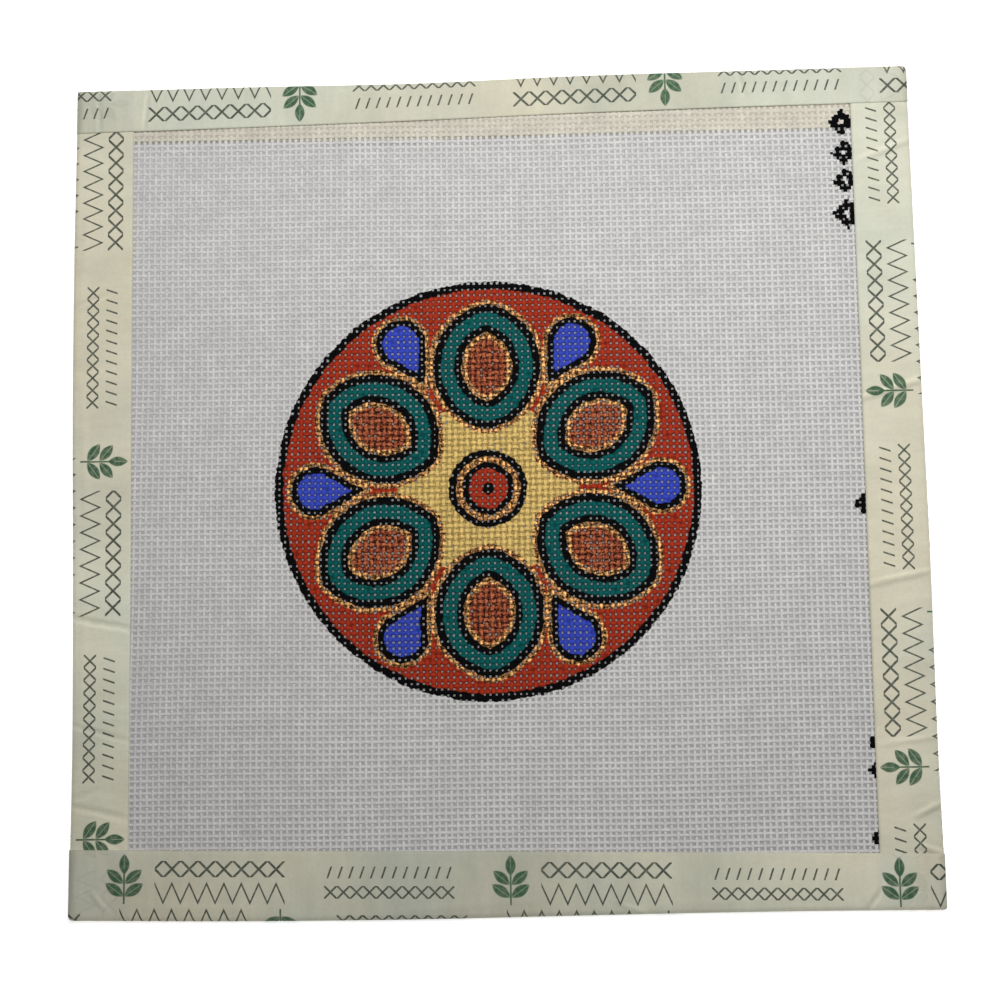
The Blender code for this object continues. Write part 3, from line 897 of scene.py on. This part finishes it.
# The repeat holds, along the strip, a leafy sprig, a long band of crosses over a zigzag, and a shorter
# band of slanted strokes over small crosses. Past the tape's middle all of it turns upside down.
# Every mark is a distance in mm compared with half a line's width.
def makePrintGroup(design):
    tree = bpy.data.node_groups.new("tapePrint", "ShaderNodeTree")
    tree.interface.new_socket("Place", in_out="INPUT", socket_type="NodeSocketVector")
    tree.interface.new_socket("Ink", in_out="OUTPUT", socket_type="NodeSocketFloat")
    tree.interface.new_socket("Leaf", in_out="OUTPUT", socket_type="NodeSocketFloat")
    do = arithmetic(tree)
    start = newNode(tree, "NodeGroupInput")
    place = parted(tree, start.outputs["Place"])

    def marked(distance, limit):  # 1 where distance is under limit, with a soft edge
        return do("MULTIPLY", do("SUBTRACT", limit, distance), 1 / design["soft"], clamp=True)

    def centred(value, period):  # distance from the middle of the nearest period, with its sign
        return do("SUBTRACT", do("FLOORED_MODULO", value, period), period / 2)

    def between(value, low, high):  # 1 inside the two limits, 0 outside
        return do("MULTIPLY", do("GREATER_THAN", value, low), do("LESS_THAN", value, high))

    # beyond the middle the row reads the other way
    middle = tape["unfolded"] / 2
    offMiddle = do("SUBTRACT", place["Y"], middle)
    flip = do("SIGN", offMiddle)
    a = do("MULTIPLY", do("MULTIPLY", place["X"], flip), -1.0)
    a = do("ADD", a, do("MULTIPLY_ADD", flip, design["turnShift"], design["turnShift"]))
    a = do("FLOORED_MODULO", a, design["repeat"])
    b = do("SUBTRACT", middle, do("ABSOLUTE", offMiddle))
    line = design["lineWidth"] / 2
    thin = line * design["thinner"]

    # distance from the two slanting lines through the middle of each period
    def crosses(period, row, size, width):
        x, y = do("ABSOLUTE", centred(a, period)), do("ABSOLUTE", do("SUBTRACT", b, row))
        gap = do("MULTIPLY", do("ABSOLUTE", do("SUBTRACT", x, y)), slanting)
        return do("MULTIPLY", marked(gap, width), do("LESS_THAN", y, size))

    # distance from a line that falls and rises once a period: upright distance times its lean
    def zigzag(period, row, size, width):
        wanted = do("MULTIPLY_ADD", do("ABSOLUTE", centred(a, period)), 4 * size / period, row - size)
        upright = do("ABSOLUTE", do("SUBTRACT", b, wanted))
        return marked(do("MULTIPLY", upright, design["zigzagLean"]), width)

    # distance sideways from lines that lean by slope
    def strokes(period, row, size, width, slope):
        y = do("SUBTRACT", b, row)
        x = centred(do("MULTIPLY_ADD", y, slope, a), period)
        return do("MULTIPLY", marked(do("ABSOLUTE", x), width), do("LESS_THAN", do("ABSOLUTE", y), size))

    longBand = do("MAXIMUM", crosses(*design["crosses"], line), zigzag(*design["zigzag"], line))
    longBand = do("MULTIPLY", longBand, between(a, *design["longBand"]))
    shortBand = do("MAXIMUM", strokes(*design["strokes"], thin, design["strokeSlope"]),
                   crosses(*design["smallCrosses"], thin))
    shortBand = do("MULTIPLY", shortBand, between(a, *design["shortBand"]))
    ink = do("MAXIMUM", longBand, shortBand)

    # sprig: a stem, two pairs of leaves and one at the top, mirrored about the stem; a leaf is
    # pointed, its half width falling as the square of the way to its tip
    across = do("ABSOLUTE", centred(do("ADD", a, design["repeat"] / 2 + 1.0), design["repeat"]))
    leaf = do("MULTIPLY", marked(across, line * design["stemWidth"]), between(b, *design["stem"]))
    for row, out, heading, length, width in design["leaves"]:
        c, s = float(np.cos(np.radians(heading))), float(np.sin(np.radians(heading)))
        dx, dy = do("SUBTRACT", across, out), do("SUBTRACT", row, b)
        lengthwise = do("ADD", do("MULTIPLY", dx, c / length), do("MULTIPLY", dy, s / length))
        sidewise = do("ABSOLUTE", do("ADD", do("MULTIPLY", dx, -s / width), do("MULTIPLY", dy, c / width)))
        edge = do("ADD", sidewise, do("MULTIPLY", lengthwise, lengthwise))
        vein = do("MULTIPLY", marked(sidewise, design["veinWidth"]), design["veinPale"])
        mark = do("MULTIPLY", do("SUBTRACT", 1.0, edge), design["leafSharpness"], clamp=True)
        leaf = do("MAXIMUM", leaf, do("MULTIPLY", mark, do("SUBTRACT", 1.0, vein)))
    onFront = between(place["Y"], 0.0, tape["unfolded"])
    end = newNode(tree, "NodeGroupOutput")
    tree.links.new(do("MULTIPLY", ink, onFront), end.inputs["Ink"])
    tree.links.new(do("MULTIPLY", leaf, onFront), end.inputs["Leaf"])
    return tree


tapeFinish = {
    "paper": (212, 206, 182), "paperCool": (201, 204, 187), "doubleTint": (201, 203, 188),
    "ink": (66, 74, 62), "leafInk": (54, 92, 62),
    "roughness": 0.66, "specular": 0.3,
    "creaseShade": 0.2, "blotchShade": 0.055, "rippleShade": 0.055,  # shares lighter or darker
    "creaseWaver": 0.9,  # mm, so that no crease is quite straight
    "cloudScale": 16.0, "cloudReach": 0.13, "blotchScale": 60.0, "fibreScale": 1500.0,  # waves in a metre
    "fibreTone": (0.965, 1.03), "inkPatches": 900.0, "inkTone": (0.82, 1.0), "ghostInk": 0.1,
    "rippleStretch": (0.22, 0.05, 1.0),  # waves in a mm
    "blotchRange": (0.33, 0.67), "inkRange": (0.3, 0.6),  # values of the noise taken as its ends
    "tintRange": (0.4, 0.6), "tintShare": (0.1, 0.6),
    "crinkleScale": 240.0, "waverScale": 260.0, "coolRough": 0.1,
    # shares of each in the bump's height
    "crinkleRelief": 0.8, "fibreRelief": 0.12, "creaseRelief": 1.4, "rippleRelief": 3.0,
    "bumpStrength": 0.5, "bumpHeight": 0.2,  # mm
}


# Sum of short creases: across each its line a raised tent with a hollow one beside it, and along it both
# die away as a parabola towards the two ends. Gives about -1 in a hollow to 1 on a ridge.
def makeCreaseLines(tree, place, lines, finish):
    do, waver = arithmetic(tree), finish["creaseWaver"]
    bent = do("MULTIPLY_ADD", objectNoise(tree, finish["waverScale"], 2.0), waver, -waver / 2)
    total = 0.0
    for along, outwards, heading, halfLength, halfWidth, depth in lines:
        c, s = float(np.cos(np.radians(heading))), float(np.sin(np.radians(heading)))
        dx, dy = do("SUBTRACT", place["X"], along), do("SUBTRACT", place["Y"], outwards)
        lengthwise = do("MULTIPLY", do("MULTIPLY_ADD", dx, c, do("MULTIPLY", dy, s)), 1 / halfLength)
        across = do("ADD", bent, do("MULTIPLY_ADD", dx, -s, do("MULTIPLY", dy, c)))
        across = do("MULTIPLY", across, 1 / halfWidth)
        ridge = do("SUBTRACT", 1.0, do("ABSOLUTE", across), clamp=True)
        hollow = do("SUBTRACT", 1.0, do("ABSOLUTE", do("SUBTRACT", across, 1.5)), clamp=True)
        fade = do("SUBTRACT", 1.0, do("MULTIPLY", lengthwise, lengthwise), clamp=True)
        total = do("MULTIPLY_ADD", do("MULTIPLY", do("SUBTRACT", ridge, hollow), fade), depth, total)
    return total


# matt paper: slow cool and warm clouds, fine fibres, crinkle bump and creases, with painted light and shade:
# crease ridges lighter and hollows darker, and each strip and patches along it lighter or darker; the print's
# ink is a little patchy, and where two strips lie on each other the lower print shows faintly through a
# cooler tint
def makeTapeMaterial(finish, phase, printGroup):
    material, tree = newMaterial("tapePaper_" + phase["name"])
    do = arithmetic(tree)
    tone = {key: (*linearColour(finish[key]), 1)
            for key in ("paper", "paperCool", "doubleTint", "ink", "leafInk")}
    clouds = spread(tree, objectNoise(tree, finish["cloudScale"], 4.0),
                    phase["cool"] - finish["cloudReach"], phase["cool"] + finish["cloudReach"])
    clouds = do("SUBTRACT", 1.0, clouds)
    fibres = objectNoise(tree, finish["fibreScale"], 3.0)
    double = attribute(tree, "double")
    printUv = mapPlace(tree, "printMap")
    place = parted(tree, printUv)
    creased = makeCreaseLines(tree, place, phase["creases"], finish)
    # slow ripples across the strip, where it was pulled round the edge
    stretched = newNode(tree, "ShaderNodeVectorMath", {"operation": "MULTIPLY"}, {
        0: printUv, 1: finish["rippleStretch"]}).outputs[0]
    ripples = newNode(tree, "ShaderNodeTexNoise", {}, {
        "Vector": stretched, "Scale": 1.0, "Detail": 4.0, "Roughness": 0.6}).outputs["Fac"]
    blotches = objectNoise(tree, finish["blotchScale"], 4.0)
    blotches = spread(tree, blotches, *finish["blotchRange"], (-1.0, 1.0))
    paper = mixColours(tree, clouds, tone["paper"], tone["paperCool"])
    tint = objectNoise(tree, finish["blotchScale"], 2.0)
    tinted = do("MULTIPLY", double, spread(tree, tint, *finish["tintRange"], finish["tintShare"]))
    paper = mixColours(tree, tinted, paper, tone["doubleTint"])
    # painted highlight and shade: crease ridges lighter and hollows darker, on the strip's painted lightness
    light = do("MULTIPLY_ADD", creased, finish["creaseShade"], phase["light"])
    # painted light and shade: patches along the strip lighter or darker
    for along, reach, change in phase["paintedLightPatches"]:
        away = do("MULTIPLY", do("SUBTRACT", place["X"], along), 1 / reach)
        near = do("SUBTRACT", 1.0, do("MULTIPLY", away, away), clamp=True)
        light = do("MULTIPLY_ADD", do("MULTIPLY", near, near), change, light)
    light = do("MULTIPLY_ADD", blotches, finish["blotchShade"], light)
    ripple = spread(tree, ripples, *noiseRange, (-1.0, 1.0))
    light = do("MULTIPLY_ADD", ripple, finish["rippleShade"], light)
    light = do("MULTIPLY", light, spread(tree, fibres, *noiseRange, finish["fibreTone"]))
    paper = scaledColour(tree, paper, light)
    patchy = objectNoise(tree, finish["inkPatches"], 2.0)
    patchy = spread(tree, patchy, *finish["inkRange"], finish["inkTone"])

    # base, then ink and then leaf mixed over it by their marks on the map moved on by shift
    def printed(base, mapName, shift, strength):
        placed = newNode(tree, "ShaderNodeVectorMath", {"operation": "ADD"}, {
            0: mapPlace(tree, mapName), 1: (shift, 0, 0)}).outputs[0]
        marks = newNode(tree, "ShaderNodeGroup", {"node_tree": printGroup}, {"Place": placed})
        amount = do("MULTIPLY", patchy, strength)
        inked = mixColours(tree, do("MULTIPLY", marks.outputs["Ink"], amount), base, tone["ink"])
        return mixColours(tree, do("MULTIPLY", marks.outputs["Leaf"], amount), inked, tone["leafInk"])

    colour = paper
    if phase["ghost"] is not None:
        colour = printed(colour, "ghostMap", phase["ghost"], do("MULTIPLY", double, finish["ghostInk"]))
    colour = printed(colour, "printMap", phase["shift"], 1.0)
    height = do("MULTIPLY_ADD", objectNoise(tree, finish["crinkleScale"], 4.0, 0.6), finish["crinkleRelief"],
                do("MULTIPLY", fibres, finish["fibreRelief"]))
    height = do("MULTIPLY_ADD", ripples, finish["rippleRelief"], height)
    height = do("MULTIPLY_ADD", creased, finish["creaseRelief"], height)
    bump = newNode(tree, "ShaderNodeBump", {}, {
        "Height": height, "Strength": finish["bumpStrength"],
        "Distance": finish["bumpHeight"] * mm}).outputs[0]
    finishMaterial(tree, {"Base Color": colour, "Normal": bump,
                          "Roughness": do("MULTIPLY_ADD", clouds, finish["coolRough"], finish["roughness"])},
                   {"Specular IOR Level": finish["specular"]})
    return material


printGroup = makePrintGroup(tapePrint)
# shift: mm by which the repeat is moved along each strip. light: painted light and shade, how much lighter
# or darker the whole strip's paper is painted. cool: how much of it is cool, about 0.5 for half. patches:
# painted light and shade, where the paper is painted a little lighter or darker, mm along the strip as the
# print reads, its reach and how much. creases: where each has its middle, along the strip and out from the
# inner edge, then heading, half length, half width and depth
stripLooks = (
    {"name": "left", "shift": 6.0, "ghost": None, "light": 1.04, "cool": 0.42,
     "paintedLightPatches": ((28.0, 30.0, 0.15),), "creases": (
        (32.6, 7.0, 102, 12.0, 0.9, 1.1), (58.2, 7.0, 106, 10.0, 0.8, 0.7), (76.5, 7.5, 104, 9.0, 0.9, 0.8),
        (72.6, 10.5, 70, 5.0, 0.9, 0.4), (83.5, 4.5, 125, 5.0, 0.8, 0.4), (-46, 9.5, 70, 5.0, 0.7, 0.5))},
    {"name": "right", "shift": -22.0, "ghost": None, "light": 1.0, "cool": 0.5,
     "paintedLightPatches": ((62.0, 35.0, 0.06),), "creases": (
        (81.5, 8.5, 68, 9.0, 0.9, 0.9), (22.0, 7.0, 73, 12.0, 0.9, 1.1), (-23.2, 7.0, 79, 11.0, 0.9, 1.1),
        (-61.4, 8.0, 82, 8.5, 0.8, 0.7), (-77.2, 11.5, 65, 4.5, 0.9, 1.3),
        (-86.3, 12.0, 110, 4.0, 0.9, 1.1))},
    {"name": "top", "shift": 41.0, "ghost": 6.0, "light": 0.94, "cool": 0.5,
     "paintedLightPatches": ((-33.0, 35.0, -0.1), (66.0, 35.0, 0.09)), "creases": (
        (96.5, 5.0, 88, 6.5, 0.7, 0.6), (85.0, 5.0, 94, 6.5, 0.7, 0.7), (-60.0, 6.0, 75, 4.5, 0.7, 0.5))},
    {"name": "bottom", "shift": 86.0, "ghost": 6.0, "light": 0.93, "cool": 0.46,
     "paintedLightPatches": ((-9.0, 40.0, -0.13), (80.0, 35.0, 0.14)), "creases": (
        (-92.5, 11.5, 50, 4.0, 0.8, 0.6), (85.5, 11.0, 125, 3.6, 0.8, 1.0), (30.0, 12.5, 20, 5.5, 0.7, 0.5))},
)
for phase in stripLooks:
    strip = makeTapeStrip(phase["name"], makeTapeMaterial(tapeFinish, phase, printGroup))
    print("tape strip made:", strip.name, len(strip.data.polygons) * 2, "triangles")


studio = {
    "floorSize": 1.6, "floorCells": 8,
    "shadedFloorUnder": (196, 196, 196), "floorBeside": (236, 236, 236),  # painted shade: darker under it, seen through the holes only
    "paintedGlowUnder": (0.09, 0.19),  # painted light: the table glows under the panel, less under its bottom than its top
    "glowBeside": 0.62,
    "glowFrom": (0.093, 0.099),  # m from the middle, over which it grows, under the tape
    "keyPlace": (0.08, 0.15, 0.50), "keyAim": (0.06, 0.14, 0.0), "keySize": 0.4, "keyPower": 0.98,
    "keySpread": 92,  # degrees, so that the light falls away towards the bottom edge
    "ambient": 0.12,
}


# A flat grid of four-cornered faces just under the panel. Under the panel it glows as painted light, more
# towards the top, and is a painted shade darker, both seen only through the holes. Its light and its tone
# change by a straight line under the tape, where they can't be seen to.
def makeFloor(setup):
    cells = setup["floorCells"]
    steps = np.linspace(-0.5, 0.5, cells + 1) * setup["floorSize"] / mm
    x, y = np.meshgrid(steps, steps)
    points = np.stack([x.ravel(), y.ravel(), np.full(x.size, -0.02)], -1)
    r, c = np.meshgrid(np.arange(cells), np.arange(cells), indexing="ij")
    corners = (r * (cells + 1) + c).reshape(-1, 1) + [0, 1, cells + 2, cells + 1]
    floor = meshPiece("floor", points, corners, {}, {})
    material, tree = newMaterial("paleFloor")
    do = arithmetic(tree)
    place = parted(tree, objectPlace(tree))
    outwards = do("MAXIMUM", do("ABSOLUTE", place["X"]), do("ABSOLUTE", place["Y"]))
    start = setup["glowFrom"][0]
    # painted light: under the panel the floor glows, more towards the top
    under = spread(tree, place["Y"], -start, start, setup["paintedGlowUnder"])
    tones = tuple(linearColour(setup[key])[0] for key in ("shadedFloorUnder", "floorBeside"))
    finishMaterial(tree, {
        "Base Color": spread(tree, outwards, *setup["glowFrom"], tones),
        "Emission Strength": spread(tree, outwards, *setup["glowFrom"], (under, setup["glowBeside"]))},
                   {"Roughness": 0.9, "Emission Color": (1, 1, 1, 1), "Specular IOR Level": 0.0})
    material.cycles.emission_sampling = "NONE"
    floor.data.materials.append(material)


# one soft square lamp, from its place towards its aim, and an even pale surround
def makeLight(setup):
    lamp = bpy.data.lights.new("softKey", "AREA")
    lamp.shape = "SQUARE"
    lamp.size = setup["keySize"]
    lamp.energy = setup["keyPower"]
    lamp.spread = np.radians(setup["keySpread"])
    key = bpy.data.objects.new("softKey", lamp)
    key.location = setup["keyPlace"]
    backwards = Vector(setup["keyPlace"]) - Vector(setup["keyAim"])
    key.rotation_euler = backwards.to_track_quat("Z", "Y").to_euler()
    bpy.context.scene.collection.objects.link(key)
    world = bpy.data.worlds.new("studio")
    world.use_nodes = True
    background = world.node_tree.nodes["Background"]
    background.inputs["Color"].default_value = (1, 1, 1, 1)
    background.inputs["Strength"].default_value = setup["ambient"]
    bpy.context.scene.world = world


makeFloor(studio)
makeLight(studio)
bpy.context.scene.view_settings.view_transform = "Standard"
print("floor and light made")

bpy.context.view_layer.update()
